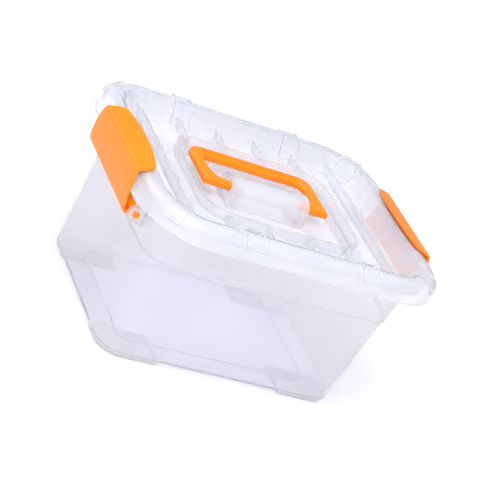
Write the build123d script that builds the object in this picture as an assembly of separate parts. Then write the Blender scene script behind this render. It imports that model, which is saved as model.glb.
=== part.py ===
"""Latching storage bin: a clear tub with a lift-off lid, two swing latches and a carry handle.

Frame: millimetres, +X along the long side, -Y is the front, +Z up. The origin is under the
middle of the bin, on the surface that it stands on.
"""
import math
import os

from build123d import *

# Lid
sheet = 1.6                  # moulded wall of tub and lid
lid_length = 260.0
lid_width = 199.0
lid_corner = 46.0
lid_height = 15.3            # skirt edge to rim top
lid_draft = 1.5              # how much each side leans in over that height
lid_crown = 9.0              # radius where the skirt rolls over into the rim
skirt_below_flange = 2.0     # how far the skirt hangs below the tub's flange
rim_width_x = 16.5           # flat rim between the outside and the recess, at the ends
rim_width_y = 14.5           # the same on the long sides
recess_slope = 9.0           # how far the recess wall leans in down to the channel
channel_drop = 1.0           # channel floor below the skirt edge
recess_corner = 30.0
pad_rise = 1.2
pad_width = 16.0
pad_drop = 7.6               # pads run this far down the outside of the rim
pad_spacing = 102.0
stack_height = 7.0           # ridges and well rim above the skirt edge: a second bin stands on them
ridge_inset = 41.0           # end ridges from the ends of the lid
ridge_thickness = 3.0
rib_thickness = 1.6
rib_positions = (-53.4, -17.8, 17.8, 53.4)
rib_drop = 1.0               # ribs below the stacking height

# Tub, which follows the lid's outline
foot_height = 4.0
body_height = 118.0          # from the underside of the floor to the underside of the rim flange
rim_gap = 8.4                # between the tub's rim and the lid's skirt
rim_flange = 7.1             # how far the rim flange stands out from the wall
mouth_length = lid_length - 2 * (sheet + rim_gap + rim_flange)
mouth_width = lid_width - 2 * (sheet + rim_gap + rim_flange)
mouth_corner = 26.0
taper_x = 8.2                # how much each end leans in down to the floor
taper_y = 7.2                # the same on the long sides
base_length = mouth_length - 2 * taper_x
base_width = mouth_width - 2 * taper_y
base_corner = 19.0
step_height = 82.5           # where the wall steps out, above the underside of the floor
step_out = 1.2
foot_length = 50.0
foot_width = 34.0
foot_draft = 1.8
panel_margin_x = 19.7        # floor around the raised panel, at the ends
panel_margin_y = 18.2        # the same on the long sides
panel_corner = 12.0
panel_rise = 1.5

# Handle well and pivot hump in the lid
well_length = 138.0
well_width = 101.0
well_corner = 22.0
well_depth = 9.0             # well floor below the skirt edge
well_draft = 2.5
hump_radius = 14.0
hump_rise = 6.3              # middle of its round top above the well floor
hump_length = 68.0
notch_depth = 3.0            # round pockets in its ends, for the handle's toes
notch_radius = 6.5
bore_wall = 5.5              # plastic left around each handle pivot, along the pivot

# Carry handle
handle_length = 113.0
handle_rise = 11.0           # pivots above the well floor
handle_reach = 43.5          # pivot to the far face of the grip
handle_thickness = 5.8
handle_round = 1.9           # rounding along its edges
grip_depth = 10.5
arm_width = 9.8
toe_depth = 7.4
handle_corner = 11.0
grip_elbow = 5.0             # inner corner between the grip and an arm
toe_elbow = 12.0             # inner corner between an arm and its toe
grip_ridges = 3
ridge_rise = 0.6
ridge_pitch = 2.6
handle_pin_radius = 2.2
handle_pin_length = 5.0
pin_root = 1.0               # part of the pin that is sunk in the toe
toe_gap = 0.5

# Latches
pivot_inset = 9.5            # hinge line inside the end of the lid
pivot_below_skirt = 15.0
latch_thickness = 1.6
lip_reach = 7.1              # lip edge inboard of the hinge line, in the middle
lip_bow = 4.5                # how much less the lip reaches at its ends
lip_corner = 5.0             # seen from above
lip_above_rim = 4.3          # lip edge above the rim: the lip swings clear of a rising lid
crease_below_rim = 0.4       # corner between the lip and the plate
crease_round = 2.6
latch_gap = 0.9              # between the skirt's edge and the latch's inner face
crease_in = 0.5              # crease this much closer in than the face beside the skirt's edge
bulge_round = 45.0           # bow of the plate there
foot_out = 8.8               # lower end of the plate, out from the hinge line
foot_drop = 4.2              # and below it
foot_round = 5.0
# Half widths of a latch down its outline, each with its height above the skirt's edge
latch_sides = ((41.0, 21.0), (42.0, 14.5), (44.0, 10.0), (46.0, -6.0), (47.0, -10.0), (46.0, -20.0))
barrel_radius = 3.6
latch_pin_radius = 2.5
ear_thickness = 4.0
ear_radius = 5.4
ear_gap = 0.9
pin_stub = 1.2               # pin end beyond the ear
ear_root = 14.0              # height of an ear where it meets the wall
ear_root_drop = 1.0          # middle of that root below the hinge line

# Fit and edge finish
pivot_clearance = 0.05       # radial, for both pairs of pivots
rest_gap = 0.3               # lid above the tub's rim
edge_round = 0.8

ridge_x = lid_length / 2 - ridge_inset
pivot_x = lid_length / 2 - pivot_inset
floor_z = foot_height
flange_z = floor_z + body_height
skirt_z = flange_z - skirt_below_flange
lid_top = skirt_z + lid_height
rim_top = lid_top - sheet - rest_gap
channel_z = skirt_z - channel_drop
stack_z = skirt_z + stack_height
well_floor = skirt_z - well_depth
hump_z = well_floor + hump_rise
handle_z = well_floor + handle_rise
pivot_z = skirt_z - pivot_below_skirt
barrel_half = latch_sides[-1][0] + edge_round
ear_in = barrel_half + ear_gap
wide_margin = 40.0           # oversize for cutting tools


def prism(low, high):
    """Solid between two rounded rectangles, each given as (length, width, corner, z)."""
    faces = [Plane.XY.offset(z) * RectangleRounded(l, w, r) for l, w, r, z in (low, high)]
    return loft(faces, ruled=True)


def grown(outline, amount, z=None):
    """The rounded rectangle moved outwards by amount, at another height if one is given."""
    length, width, corner, height = outline
    return (length + 2 * amount, width + 2 * amount, corner + amount, height if z is None else z)


def between(low, high, z):
    """The rounded rectangle at height z on the straight line between two others."""
    share = (z - low[3]) / (high[3] - low[3])
    return tuple(a + share * (b - a) for a, b in zip(low, high))


def block(x0, x1, y0, y1, z0, z1):
    """Box from its two corners."""
    centre = Pos((x0 + x1) / 2, (y0 + y1) / 2, (z0 + z1) / 2)
    return centre * Box(x1 - x0, y1 - y0, z1 - z0)


def rod(x, z, radius, y0, y1):
    """Cylinder along Y."""
    return Pos(x, (y0 + y1) / 2, z) * Rot(90, 0, 0) * Cylinder(radius, y1 - y0)


def make_feet(base):
    """Four corner feet under the tub, as one set of blocks."""
    inset = grown(base, -foot_draft, 0.0)
    plinth = prism(inset, grown(base, 0, floor_z + sheet / 2))
    corners = Part()
    for sx in (-1, 1):
        for sy in (-1, 1):
            x = sx * (base[0] / 2 - foot_length / 2)
            y = sy * (base[1] / 2 - foot_width / 2)
            corners += Pos(x, y, floor_z / 2) * Box(foot_length, foot_width, floor_z + 2 * sheet)
    return plinth & corners


def make_ears():
    """Two pairs of ears that carry the latches' pins."""
    wall_x = mouth_length / 2 - sheet / 2
    ears = Part()
    for side in (-1, 1):
        tip = Pos(side * pivot_x, pivot_z) * Circle(ear_radius)
        root = Pos(side * wall_x, pivot_z - ear_root_drop) * Rectangle(sheet / 2, ear_root)
        outline = make_hull(tip.edges() + root.edges())
        for y in (ear_in, -ear_in - ear_thickness):
            plate = extrude(Plane.XZ.offset(-y) * outline, -ear_thickness)
            ears += plate
    return ears


def make_tub():
    """Tapered tub with a stepped wall, rim, floor panel, feet and latch ears."""
    base = (base_length, base_width, base_corner, floor_z)
    mouth = (mouth_length, mouth_width, mouth_corner, flange_z + sheet)
    step = between(base, mouth, floor_z + step_height)
    lower = grown(step, -step_out)
    outside = prism(base, lower) + prism(step, mouth)
    rim_low = grown(mouth, rim_flange, flange_z)
    outside += prism(rim_low, grown(rim_low, 0, flange_z + sheet))
    outside += prism(rim_low, grown(rim_low, 0, rim_top))
    inner_base = grown(base, -sheet, floor_z + sheet)
    inner_lower = grown(lower, -sheet)
    inner_step = grown(step, -sheet)
    hollow = prism(inner_base, inner_lower) + prism(inner_step, grown(mouth, -sheet))
    hollow += prism(grown(mouth, -sheet), grown(mouth, -sheet, rim_top + sheet))
    rim_in = grown(rim_low, -sheet, flange_z + sheet)
    hollow += prism(rim_in, grown(rim_in, 0, rim_top + sheet))
    tub = outside - hollow
    panel_length = base_length - 2 * panel_margin_x
    panel_width = base_width - 2 * panel_margin_y
    panel = (panel_length, panel_width, panel_corner, floor_z - sheet)
    tub += prism(grown(panel, 0, floor_z + sheet / 2), grown(panel, 0, floor_z + sheet + panel_rise))
    tub += make_feet(base)
    tub -= prism(grown(panel, -sheet), grown(panel, -sheet, floor_z + panel_rise))
    tub += make_ears()
    tub -= rod(pivot_x, pivot_z, latch_pin_radius + pivot_clearance, -wide_margin * 2, wide_margin * 2)
    tub -= rod(-pivot_x, pivot_z, latch_pin_radius + pivot_clearance, -wide_margin * 2, wide_margin * 2)
    return tub


def lid_outside(extra=0.0):
    """Outside of the lid with its rolled edge, grown by extra."""
    edge = grown((lid_length, lid_width, lid_corner, skirt_z), extra)
    top = grown(edge, -lid_draft, lid_top + extra)
    shell = prism(edge, top)
    return fillet(shell.faces().sort_by(Axis.Z)[-1].edges(), lid_crown)


def lid_cavity():
    """Hollow under the rim."""
    edge = grown((lid_length, lid_width, lid_corner, skirt_z - sheet), -sheet)
    top = grown(edge, -lid_draft, lid_top - sheet)
    hollow = prism(edge, top)
    return fillet(hollow.faces().sort_by(Axis.Z)[-1].edges(), lid_crown - sheet)


def make_recess(offset=0.0, low=None, high=None):
    """Sloping recess in the lid, grown by offset, from height low to height high."""
    mouth = (lid_length - 2 * rim_width_x, lid_width - 2 * rim_width_y, recess_corner, lid_top)
    floor = grown(mouth, -recess_slope, channel_z)
    low = channel_z if low is None else low
    high = lid_top + sheet if high is None else high
    start = grown(between(floor, mouth, low), offset)
    return prism(start, grown(between(floor, mouth, high), offset))


def make_pads():
    """Raised pads over the rim and down the recess wall: one in each corner, two on each long side."""
    bands = Part()
    reach = 2 * (rim_width_y + recess_slope)
    for sx in (-1, 1):
        for sy in (-1, 1):
            x = sx * pad_spacing / 2
            y = sy * lid_width / 2
            bands += Pos(x, y, lid_top) * Box(pad_width, reach, 2 * lid_height)
            cx = sx * (lid_length / 2 - lid_corner)
            cy = sy * (lid_width / 2 - lid_corner)
            turn = math.degrees(math.atan2(sy, sx))
            bands += Pos(cx, cy, lid_top) * Rot(0, 0, turn) * Pos(lid_corner, 0, 0) * Box(
                reach, pad_width, 2 * lid_height)
    rim = lid_outside(pad_rise) - make_recess(sheet / 2) - lid_cavity()
    rim &= block(-lid_length, lid_length, -lid_width, lid_width, lid_top - pad_drop, lid_top + lid_height)
    lining = make_recess(sheet / 2, channel_z, lid_top + pad_rise)
    lining -= make_recess(-pad_rise, channel_z, lid_top + lid_height)
    return (rim + lining) & bands


def make_well(offset):
    """Handle well, grown outwards and downwards by offset."""
    mouth = (well_length, well_width, well_corner, stack_z)
    floor = grown(mouth, -well_draft, well_floor)
    return prism(grown(floor, offset, well_floor - offset), grown(mouth, offset))


def round_top(radius, length, low):
    """Bar along X with a half-round top, centred on the hump and reaching down to height low."""
    bar = Pos(0, 0, hump_z) * Rot(0, 90, 0) * Cylinder(radius, length)
    return bar + block(-length / 2, length / 2, -radius, radius, low, hump_z)


def make_hump():
    """Half-round hump that carries the handle's pivots, with its hollow as a second solid."""
    above = block(-hump_length, hump_length, -wide_margin, wide_margin, well_floor - sheet / 2, stack_z * 2)
    solid = round_top(hump_radius, hump_length, well_floor - sheet / 2) & above
    for side in (-1, 1):
        end = Pos(side * hump_length / 2, 0, handle_z) * Rot(0, 90, 0)
        solid -= end * Cylinder(notch_radius, 2 * notch_depth)
    hollow_length = hump_length - 2 * (notch_depth + bore_wall)
    hollow = round_top(hump_radius - sheet, hollow_length, well_floor - 2 * sheet)
    bore = Pos(0, 0, handle_z) * Rot(0, 90, 0) * Cylinder(handle_pin_radius + pivot_clearance, hump_length)
    return solid, hollow + bore


def make_lid():
    """Lid with a rolled rim, sloping recess, channel, stacking ridges, handle well and hump."""
    dish = make_recess(sheet, channel_z - sheet, lid_top - sheet / 2)
    lid = lid_outside() - lid_cavity() + dish - make_recess()
    lid += make_pads()
    rails = Part()
    rail_foot = channel_z - sheet / 2
    for side in (-1, 1):
        x = side * ridge_x
        half = ridge_thickness / 2
        rails += block(x - half, x + half, -lid_width / 2, lid_width / 2, rail_foot, stack_z)
    for x in rib_positions:
        half = rib_thickness / 2
        rails += block(x - half, x + half, -lid_width / 2, lid_width / 2, rail_foot, stack_z - rib_drop)
    lid += rails & make_recess(sheet / 2, rail_foot, stack_z)
    lid += make_well(sheet)
    lid -= make_well(0.0)
    hump, hollow = make_hump()
    return lid + hump - hollow


def handle_outline():
    """Flat outline of the handle, lying back from its pivots."""
    half = handle_length / 2
    toe_x = hump_length / 2 - notch_depth + toe_gap
    back = handle_reach
    front = -toe_depth / 2
    whole = Pos(0, (back + front) / 2) * Rectangle(handle_length, back - front)
    whole = fillet(whole.vertices().group_by(Axis.Y)[-1], handle_corner)
    inner_half = half - arm_width
    gap = Pos(0, (back - grip_depth + toe_depth / 2) / 2) * Rectangle(
        2 * inner_half, back - grip_depth - toe_depth / 2)
    gap = fillet(gap.vertices().group_by(Axis.Y)[-1], grip_elbow)
    gap = fillet(gap.vertices().group_by(Axis.Y)[0], toe_elbow)
    return whole - gap - Rectangle(2 * toe_x, 2 * toe_depth)


def make_handle():
    """Bail handle with a ribbed grip and a pin on each toe."""
    blank = extrude(Plane.XY.offset(handle_z - handle_thickness / 2) * handle_outline(), handle_thickness)
    handle = fillet(blank.edges().group_by(Axis.Z)[0] + blank.edges().group_by(Axis.Z)[-1], handle_round)
    grip_y = handle_reach - grip_depth / 2
    top = handle_z + handle_thickness / 2
    ridge_length = handle_length - 2 * handle_corner
    for index in range(grip_ridges):
        y = grip_y + (index - (grip_ridges - 1) / 2) * ridge_pitch
        handle += Pos(0, y, top) * Rot(0, 90, 0) * Cylinder(ridge_rise, ridge_length)
    toe_x = hump_length / 2 - notch_depth + toe_gap
    for side in (-1, 1):
        middle = side * (toe_x + pin_root - handle_pin_length / 2)
        handle += Pos(middle, 0, handle_z) * Rot(0, 90, 0) * Cylinder(handle_pin_radius, handle_pin_length)
    return handle


def inset_corners(corners, amount):
    """The corners of an open line moved by amount to the right of its direction."""
    normals = []
    for start, end in zip(corners, corners[1:]):
        leg = (end - start).normalized()
        normals.append(Vector(leg.Y, -leg.X))
    moved = [corners[0] + normals[0] * amount]
    for corner, before, after in zip(corners[1:], normals, normals[1:]):
        moved.append(corner + (before + after) * (amount / (1 + before.dot(after))))
    moved.append(corners[-1] + normals[-1] * amount)
    return moved


def latch_section():
    """Side view of the right latch: a sloping lip, a crease and a plate that curls in below."""
    face_x = lid_length / 2 + latch_gap + latch_thickness
    corners = [
        Vector(pivot_x - lip_reach, lid_top + lip_above_rim),
        Vector(face_x - crease_in, lid_top - crease_below_rim),
        Vector(face_x, skirt_z),
        Vector(pivot_x + foot_out, pivot_z - foot_drop),
        Vector(pivot_x, pivot_z - barrel_radius),
    ]
    rounds = (crease_round, bulge_round, foot_round)
    skin = FilletPolyline(*corners, radius=rounds)
    inner_rounds = [radius - latch_thickness for radius in rounds]
    lining = FilletPolyline(*inset_corners(corners, latch_thickness), radius=inner_rounds)
    ends = [Line(skin @ 1, lining @ 1), Line(lining @ 0, skin @ 0)]
    return make_face(skin.edges() + lining.edges() + ends)


def make_latch(side):
    """Latch for one end: side is 1 for the right end and -1 for the left."""
    widest = max(half for half, above in latch_sides)
    body = extrude(Plane.XZ * latch_section(), widest, both=True)
    front = [(-half, skirt_z + above) for half, above in latch_sides]
    outline = make_face(Polyline(front + [(-y, z) for y, z in reversed(front)], close=True))
    body &= extrude(Plane.YZ * outline, 2 * pivot_x)
    lip_half = latch_sides[0][0]
    lip_x = pivot_x - lip_reach
    bow_radius = (lip_half ** 2 + lip_bow ** 2) / (2 * lip_bow)
    lens = Pos(lip_x + bow_radius, 0) * Circle(bow_radius)
    lens &= Pos(lip_x + wide_margin, 0) * Rectangle(2 * wide_margin, 2 * lip_half)
    lens = fillet(lens.vertices().sort_by(Axis.X)[:2], lip_corner)
    lip_zone = block(0, lip_x + lip_bow + lip_corner, -widest, widest, skirt_z, lid_top + wide_margin)
    body -= lip_zone - Pos(0, 0, skirt_z) * extrude(lens, 2 * wide_margin)
    body += rod(pivot_x, pivot_z, barrel_radius, -barrel_half, barrel_half)
    pin_half = ear_in + ear_thickness + pin_stub
    body += rod(pivot_x, pivot_z, latch_pin_radius, -pin_half, pin_half)
    return body if side > 0 else Rot(0, 0, 180) * body


def main():
    """Write one STEP file for each separate piece."""
    os.makedirs("parts", exist_ok=True)
    pieces = {
        "tub": make_tub(),
        "lid": make_lid(),
        "carry_handle": make_handle(),
        "latch_right": make_latch(1),
        "latch_left": make_latch(-1),
    }
    for name, piece in pieces.items():
        export_step(piece, f"parts/{name}.step")
        print(name, "solids", len(piece.solids()), "valid", piece.is_valid, piece.bounding_box().size)


if __name__ == "__main__":
    main()
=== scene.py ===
"""Studio scene for a latching storage bin of clear polypropylene with orange fittings.

The bin's five solids come from model.glb as they are. This file gives each of them its
finish, and sets the floor, the lamps and the camera at the photograph's viewing angle.
"""
import logging
import math
from dataclasses import dataclass
from enum import Enum
from typing import Any

import bpy
from mathutils import Matrix, Vector

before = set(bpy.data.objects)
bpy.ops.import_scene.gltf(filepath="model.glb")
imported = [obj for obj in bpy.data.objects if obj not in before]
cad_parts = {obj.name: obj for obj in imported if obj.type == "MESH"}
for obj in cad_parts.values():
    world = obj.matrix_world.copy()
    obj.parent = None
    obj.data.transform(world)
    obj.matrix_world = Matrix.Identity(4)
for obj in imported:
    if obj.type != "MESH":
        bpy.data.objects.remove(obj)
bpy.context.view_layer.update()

logging.basicConfig(level=logging.INFO, format="%(levelname)s %(message)s")
LOG = logging.getLogger("storage_bin")

MM = 0.001
IOR_POLYPROPYLENE = 1.49
WHITE = "#FFFFFF"

# The sRGB curve: a straight part below the knee, and a power above it.
SRGB_KNEE = 0.04045
SRGB_SLOPE = 12.92
SRGB_OFFSET = 0.055
SRGB_POWER = 2.4


class Ray(Enum):
    """Kinds of ray, named as the outputs of the light path node."""

    CAMERA = "Is Camera Ray"
    THROUGH_PLASTIC = "Is Transmission Ray"
    MIRRORED = "Is Glossy Ray"
    TO_LAMP = "Is Shadow Ray"


def linear(hex_code: str) -> tuple[float, float, float, float]:
    """Turn an sRGB hex colour into the linear colour that a shader takes.

    Args:
        hex_code: six hex digits, with or without a leading mark.

    Returns:
        Linear red, green, blue and an alpha of 1.
    """
    digits = hex_code.lstrip("#")
    parts = [int(digits[i:i + 2], 16) / 255 for i in (0, 2, 4)]
    low = [p / SRGB_SLOPE if p <= SRGB_KNEE
           else ((p + SRGB_OFFSET) / (1 + SRGB_OFFSET)) ** SRGB_POWER for p in parts]
    return (*low, 1.0)


def per_mm(size: float) -> float:
    """Work out the scale of a texture from the real size of its marks.

    Args:
        size: width of one mark, in millimetres.

    Returns:
        Texture scale, in marks per metre.
    """
    return 1.0 / (size * MM)


def add_node(tree: bpy.types.NodeTree, kind: str, settings: dict[str, Any] | None = None,
             values: dict[Any, Any] | None = None, links: dict[Any, Any] | None = None) -> Any:
    """Add a shader node with its settings, socket values and incoming links.

    Args:
        tree: node tree to add to.
        kind: the node's type name.
        settings: attributes of the node itself.
        values: plain values by input name or number.
        links: output sockets by the input name or number that they feed.

    Returns:
        The new node.
    """
    node = tree.nodes.new(kind)
    for name, value in (settings or {}).items():
        setattr(node, name, value)
    for key, value in (values or {}).items():
        node.inputs[key].default_value = value
    for key, socket in (links or {}).items():
        tree.links.new(socket, node.inputs[key])
    return node


def any_ray(tree: bpy.types.NodeTree, path: Any, kinds: tuple[Ray, ...]) -> Any:
    """Tell the rays of these kinds from all others.

    Args:
        tree: node tree to add to.
        path: the tree's light path node.
        kinds: kinds of ray to look for, at least one.

    Returns:
        Socket that gives 1 for such a ray and 0 for any other.
    """
    found = path.outputs[kinds[0].value]
    for kind in kinds[1:]:
        found = add_node(tree, "ShaderNodeMath", {"operation": "MAXIMUM"}, links={
            0: found, 1: path.outputs[kind.value],
        }).outputs[0]
    return found


def empty_material(name: str) -> tuple[bpy.types.Material, bpy.types.NodeTree]:
    """Make a material with an empty node tree.

    Args:
        name: the material's name.

    Returns:
        The material and its node tree.
    """
    material = bpy.data.materials.new(name)
    material.use_nodes = True
    material.node_tree.nodes.clear()
    return material, material.node_tree


@dataclass(frozen=True)
class Mottle:
    """Soft irregular pattern, sized by the real marks that it stands for."""

    size_mm: float
    detail: float = 2.0
    roughness: float = 0.5
    distortion: float = 0.0

    def values(self) -> dict[str, float]:
        """Give the noise texture's inputs.

        Returns:
            Values by input name.
        """
        return {"Scale": per_mm(self.size_mm), "Detail": self.detail,
                "Roughness": self.roughness, "Distortion": self.distortion}


@dataclass(frozen=True)
class MouldedPlastic:
    """Injection-moulded skin: flow marks vary colour and gloss, over a faint orange peel."""

    name: str
    light: str
    deep: str
    gloss_low: float
    gloss_high: float
    flow: Mottle
    peel: Mottle
    peel_depth_mm: float
    peel_strength: float

    def add_skin(self, tree: bpy.types.NodeTree) -> dict[str, Any]:
        """Add the nodes of the skin.

        Args:
            tree: node tree of the material.

        Returns:
            Sockets by the input of the surface shader that they feed.
        """
        place = add_node(tree, "ShaderNodeTexCoord").outputs["Object"]
        flow = add_node(tree, "ShaderNodeTexNoise", values=self.flow.values(),
                        links={"Vector": place}).outputs["Fac"]
        peel = add_node(tree, "ShaderNodeTexNoise", values=self.peel.values(),
                        links={"Vector": place}).outputs["Fac"]
        colour = add_node(tree, "ShaderNodeMix", {"data_type": "RGBA"}, {
            "A": linear(self.light), "B": linear(self.deep),
        }, {"Factor": flow})
        gloss = add_node(tree, "ShaderNodeMapRange", values={
            "To Min": self.gloss_low, "To Max": self.gloss_high,
        }, links={"Value": flow})
        bump = add_node(tree, "ShaderNodeBump", values={
            "Strength": self.peel_strength, "Distance": self.peel_depth_mm * MM,
        }, links={"Height": peel})
        return {"Base Color": colour.outputs["Result"], "Roughness": gloss.outputs["Result"],
                "Normal": bump.outputs["Normal"]}


@dataclass(frozen=True)
class TranslucentPolypropylene(MouldedPlastic):
    """Natural polypropylene, injection moulded in a polished mould: milky, clear when thin.

    The eye gets a pale lilac haze, soft views of what lies behind, and white lines along the
    corners: partly the denser scatter of milky plastic there, partly a painted highlight that
    stands in for rounded edges catching the lamps. Flow marks vary the haze over tens of
    millimetres.
    The peel is drawn coarser and shallower than the real one, whose grain would only show
    as noise. A thin wall bends light less than a solid block, so bend is a low IOR and the
    coat on top mirrors with the real one. Lamp light passes a wall nearly unshaded.
    """

    light: str = "#FCFBFD"
    deep: str = "#F5F3F8"
    gloss_low: float = 0.1
    gloss_high: float = 0.18
    flow: Mottle = Mottle(42.0, detail=3.0, roughness=0.55, distortion=0.8)
    peel: Mottle = Mottle(2.4)
    peel_depth_mm: float = 0.003
    peel_strength: float = 0.6
    transmission: float = 0.8
    bend: float = 1.11
    coat: float = 0.7
    coat_gloss: float = 0.08
    edge_mm: float = 1.6
    edge_samples: int = 8
    corner_highlight_share: float = 0.95
    edge_through: float = 0.5
    # Agreement of the true face with its rounded neighbourhood, 1 on an open face: the painted
    # white highlight begins at the first value and is full at the second.
    edge_begins: float = 0.985
    edge_full: float = 0.85
    lamp_share: float = 0.9
    lamp_tint: str = "#F2F2F6"

    def make(self) -> bpy.types.Material:
        """Build the material.

        Returns:
            The finished material.
        """
        material, tree = empty_material(self.name)
        body = add_node(tree, "ShaderNodeBsdfPrincipled", values={
            "IOR": self.bend, "Transmission Weight": self.transmission,
            "Coat Weight": self.coat, "Coat Roughness": self.coat_gloss,
            "Coat IOR": IOR_POLYPROPYLENE,
        }, links=self.add_skin(tree))
        body = self.paint_corner_highlights(tree, body)
        clear = add_node(tree, "ShaderNodeBsdfTransparent", values={
            "Color": linear(self.lamp_tint),
        })
        path = add_node(tree, "ShaderNodeLightPath")
        share = add_node(tree, "ShaderNodeMath", {"operation": "MULTIPLY"},
                         {1: self.lamp_share}, {0: path.outputs[Ray.TO_LAMP.value]})
        surface = add_node(tree, "ShaderNodeMixShader", links={
            0: share.outputs[0], 1: body.outputs[0], 2: clear.outputs[0],
        })
        add_node(tree, "ShaderNodeOutputMaterial", links={"Surface": surface.outputs[0]})
        return material

    def paint_corner_highlights(self, tree: bpy.types.NodeTree, body: Any) -> Any:
        """Mix in a painted white highlight where faces meet at a corner, which also stands for
        the denser scatter of milky plastic there.

        Args:
            tree: node tree of the material.
            body: shader of the open faces.

        Returns:
            Node whose first output is the mixed shader.
        """
        face = add_node(tree, "ShaderNodeNewGeometry").outputs["Normal"]
        rounded = add_node(tree, "ShaderNodeBevel", {"samples": self.edge_samples},
                           {"Radius": self.edge_mm * MM}).outputs["Normal"]
        agreement = add_node(tree, "ShaderNodeVectorMath", {"operation": "DOT_PRODUCT"},
                             links={0: face, 1: rounded}).outputs["Value"]
        share = add_node(tree, "ShaderNodeMapRange", values={
            "From Min": self.edge_begins, "From Max": self.edge_full,
            "To Max": self.corner_highlight_share,
        }, links={"Value": agreement}).outputs["Result"]
        # Painted highlight: white diffuse and translucent shading mixed in along the corners.
        lit = add_node(tree, "ShaderNodeBsdfDiffuse", values={"Color": linear(WHITE)})
        through = add_node(tree, "ShaderNodeBsdfTranslucent", values={"Color": linear(WHITE)})
        corner = add_node(tree, "ShaderNodeMixShader", values={0: self.edge_through},
                          links={1: lit.outputs[0], 2: through.outputs[0]})
        return add_node(tree, "ShaderNodeMixShader", links={
            0: share, 1: body.outputs[0], 2: corner.outputs[0],
        })


@dataclass(frozen=True)
class OrangePolypropylene(MouldedPlastic):
    """Coloured polypropylene, injection moulded glossy: bright orange with a painted red glow.

    The eye gets a soft wide highlight, a deeper orange in the shade where light passes
    through thin edges, and a faint mottle from the flow of the melt. The painted red glow is a
    little light of its own, which keeps the orange red in the shade as in the photograph.
    """

    light: str = "#FFA322"
    deep: str = "#FF8F14"
    gloss_low: float = 0.28
    gloss_high: float = 0.4
    flow: Mottle = Mottle(18.0, detail=3.0, distortion=1.0)
    peel: Mottle = Mottle(0.9)
    peel_depth_mm: float = 0.01
    peel_strength: float = 0.5
    specular: float = 0.3
    # Painted red glow: emission that keeps the orange red in the shade, though the part is no
    # lamp.
    painted_red_glow: str = "#FF5A14"
    painted_red_glow_strength: float = 0.12
    glow: float = 0.35
    glow_radius_mm: float = 3.0
    # Red light travels furthest in the pigmented plastic, blue hardly at all.
    glow_reach: tuple[float, float, float] = (1.0, 0.3, 0.06)

    def make(self) -> bpy.types.Material:
        """Build the material.

        Returns:
            The finished material.
        """
        material, tree = empty_material(self.name)
        body = add_node(tree, "ShaderNodeBsdfPrincipled", values={
            "IOR": IOR_POLYPROPYLENE, "Specular IOR Level": self.specular,
            "Emission Color": linear(self.painted_red_glow), "Emission Strength": self.painted_red_glow_strength,
            "Subsurface Weight": self.glow, "Subsurface Radius": self.glow_reach,
            "Subsurface Scale": self.glow_radius_mm * MM,
        }, links=self.add_skin(tree))
        add_node(tree, "ShaderNodeOutputMaterial", links={"Surface": body.outputs[0]})
        return material


@dataclass(frozen=True)
class StudioPaper:
    """Matt white background paper: a diffuse sheet that keeps the object's shadow.

    Rays from the camera, mirror rays and rays through clear plastic also get a little light
    of its own, more of it away from the lamps, so that the sheet reads as white where nothing
    shades it. The fibres are drawn coarser than real ones, which would be too fine to show.
    """

    name: str = "studio_paper_white"
    colour: str = "#F4F4F6"
    fibre: Mottle = Mottle(2.0)
    fibre_depth_mm: float = 0.05
    fibre_strength: float = 0.1
    # Light of its own, and the distances from the bin in metres between which it grows.
    lift_near: float = 0.15
    lift_far: float = 0.5
    near: float = 0.4
    far: float = 1.8

    def make(self) -> bpy.types.Material:
        """Build the material.

        Returns:
            The finished material.
        """
        material, tree = empty_material(self.name)
        place = add_node(tree, "ShaderNodeTexCoord").outputs["Object"]
        fibre = add_node(tree, "ShaderNodeTexNoise", values=self.fibre.values(),
                         links={"Vector": place}).outputs["Fac"]
        bump = add_node(tree, "ShaderNodeBump", values={
            "Strength": self.fibre_strength, "Distance": self.fibre_depth_mm * MM,
        }, links={"Height": fibre})
        sheet = add_node(tree, "ShaderNodeBsdfDiffuse", values={
            "Color": linear(self.colour),
        }, links={"Normal": bump.outputs["Normal"]})
        seen = any_ray(tree, add_node(tree, "ShaderNodeLightPath"),
                       (Ray.CAMERA, Ray.THROUGH_PLASTIC, Ray.MIRRORED))
        distance = add_node(tree, "ShaderNodeVectorMath", {"operation": "LENGTH"},
                            links={0: place}).outputs["Value"]
        lift = add_node(tree, "ShaderNodeMapRange", values={
            "From Min": self.near, "From Max": self.far,
            "To Min": self.lift_near, "To Max": self.lift_far,
        }, links={"Value": distance})
        strength = add_node(tree, "ShaderNodeMath", {"operation": "MULTIPLY"},
                            links={0: seen, 1: lift.outputs["Result"]})
        own = add_node(tree, "ShaderNodeEmission", values={"Color": linear(WHITE)},
                       links={"Strength": strength.outputs[0]})
        both = add_node(tree, "ShaderNodeAddShader", links={
            0: sheet.outputs[0], 1: own.outputs[0],
        })
        add_node(tree, "ShaderNodeOutputMaterial", links={"Surface": both.outputs[0]})
        return material


def finish_node(node: str, material: bpy.types.Material) -> None:
    """Give all material slots of a CAD node this material.

    Args:
        node: name of the CAD node.
        material: finish for every slot of its object.
    """
    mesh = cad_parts[node].data
    for number in range(len(mesh.materials)):
        mesh.materials[number] = material
    if not mesh.materials:
        mesh.materials.append(material)
    LOG.info("%s: %d faces, finish %s", node, len(mesh.polygons), material.name)


@dataclass(frozen=True)
class Tub:
    """Clear tapered tub."""

    node: str = "tub"
    finish: MouldedPlastic = TranslucentPolypropylene("polypropylene_natural_tub", edge_mm=2.8)

    def build(self) -> None:
        """Dress the tub."""
        finish_node(self.node, self.finish.make())


@dataclass(frozen=True)
class Lid:
    """Clear lid with its handle well and hump, a little hazier than the tub."""

    node: str = "lid"
    finish: MouldedPlastic = TranslucentPolypropylene(
        "polypropylene_natural_lid", light="#FDFDFE", deep="#F6F7FC", transmission=0.72,
        gloss_low=0.14, gloss_high=0.24)

    def build(self) -> None:
        """Dress the lid."""
        finish_node(self.node, self.finish.make())


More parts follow.
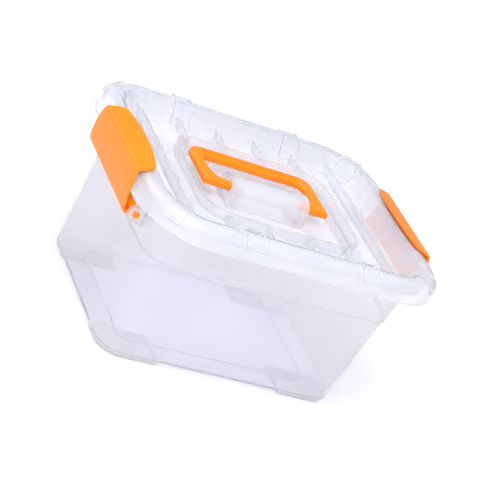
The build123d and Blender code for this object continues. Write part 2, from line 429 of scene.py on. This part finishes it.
@dataclass(frozen=True)
class Fittings:
    """Orange latches and carry handle, of one plastic."""

    nodes: tuple[str, ...] = ("latch_left", "latch_right", "carry_handle")
    finish: MouldedPlastic = OrangePolypropylene("polypropylene_orange")

    def build(self) -> None:
        """Dress the latches and the handle in one orange."""
        material = self.finish.make()
        for node in self.nodes:
            finish_node(node, material)


@dataclass(frozen=True)
class Lamp:
    """Soft square studio lamp aimed at the bin."""

    name: str
    place: tuple[float, float, float]
    size: float
    watts: float

    def build(self, aim: Vector) -> None:
        """Add the lamp.

        Args:
            aim: point that the lamp faces.
        """
        data = bpy.data.lights.new(self.name, "AREA")
        data.shape = "SQUARE"
        data.size = self.size
        data.energy = self.watts
        lamp = bpy.data.objects.new(self.name, data)
        lamp.location = self.place
        lamp.rotation_euler = (Vector(self.place) - aim).to_track_quat("Z", "Y").to_euler()
        bpy.context.scene.collection.objects.link(lamp)


@dataclass(frozen=True)
class PhotoCamera:
    """Camera where the photograph was taken from, rolled as it was."""

    name: str = "photo_camera"
    place: tuple[float, float, float] = (-0.687046, -0.998789, 0.625863)
    target: tuple[float, float, float] = (0.000964, -0.000423, 0.080442)
    roll_deg: float = 31.6297
    lens: float = 131.082
    sight: float = 30.0

    def build(self) -> None:
        """Add the camera and make it the scene's."""
        data = bpy.data.cameras.new(self.name)
        data.lens = self.lens
        data.clip_end = self.sight
        camera = bpy.data.objects.new(self.name, data)
        place = Vector(self.place)
        turn = (place - Vector(self.target)).to_track_quat("Z", "Y").to_matrix()
        turn = turn @ Matrix.Rotation(math.radians(self.roll_deg), 3, "Z")
        camera.matrix_world = Matrix.LocRotScale(place, turn.to_quaternion(), None)
        bpy.context.scene.collection.objects.link(camera)
        bpy.context.scene.camera = camera


@dataclass(frozen=True)
class Studio:
    """Floor, lamps, surroundings and camera."""

    floor_half: float = 6.0
    aim: tuple[float, float, float] = (0.0, 0.0, 0.08)
    surround: float = 0.47
    surround_seen: float = 1.0
    mirrored: str = "#A8B0CC"
    lamps: tuple[Lamp, ...] = (
        Lamp("key_lamp", (-0.5, -0.6, 1.8), 1.2, 21.0),
        Lamp("fill_lamp", (-0.7, -1.5, 0.8), 1.0, 5.0),
        Lamp("back_lamp", (-0.6, 1.3, 1.5), 1.0, 8.0),
    )
    camera: PhotoCamera = PhotoCamera()

    def build(self) -> None:
        """Set up the whole studio."""
        self.lay_floor()
        self.light_surroundings()
        for lamp in self.lamps:
            lamp.build(Vector(self.aim))
        self.camera.build()

    def lay_floor(self) -> None:
        """Lay one large sheet of white paper at floor level."""
        half = self.floor_half
        mesh = bpy.data.meshes.new("studio_floor")
        mesh.from_pydata([(-half, -half, 0), (half, -half, 0), (half, half, 0), (-half, half, 0)],
                         [], [(0, 1, 2, 3)])
        mesh.materials.append(StudioPaper().make())
        floor = bpy.data.objects.new("studio_floor", mesh)
        bpy.context.scene.collection.objects.link(floor)

    def light_surroundings(self) -> None:
        """Fill the room with even light.

        The camera and clear plastic see it as white, and glossy faces mirror it bluish.
        """
        world = bpy.data.worlds.new("studio_room")
        world.use_nodes = True
        tree = world.node_tree
        tree.nodes.clear()
        path = add_node(tree, "ShaderNodeLightPath")
        seen = any_ray(tree, path, (Ray.CAMERA, Ray.THROUGH_PLASTIC))
        strength = add_node(tree, "ShaderNodeMapRange", values={
            "To Min": self.surround, "To Max": self.surround_seen,
        }, links={"Value": seen})
        colour = add_node(tree, "ShaderNodeMix", {"data_type": "RGBA"}, {
            "A": linear(WHITE), "B": linear(self.mirrored),
        }, {"Factor": path.outputs[Ray.MIRRORED.value]})
        light = add_node(tree, "ShaderNodeBackground", links={
            "Color": colour.outputs["Result"], "Strength": strength.outputs[0],
        })
        add_node(tree, "ShaderNodeOutputWorld", links={"Surface": light.outputs[0]})
        bpy.context.scene.world = world


def main() -> None:
    """Build the bin's pieces and the studio."""
    bpy.context.scene.view_settings.view_transform = "Standard"
    for part in (Tub(), Lid(), Fittings()):
        part.build()
    Studio().build()


if __name__ == "__main__":
    main()
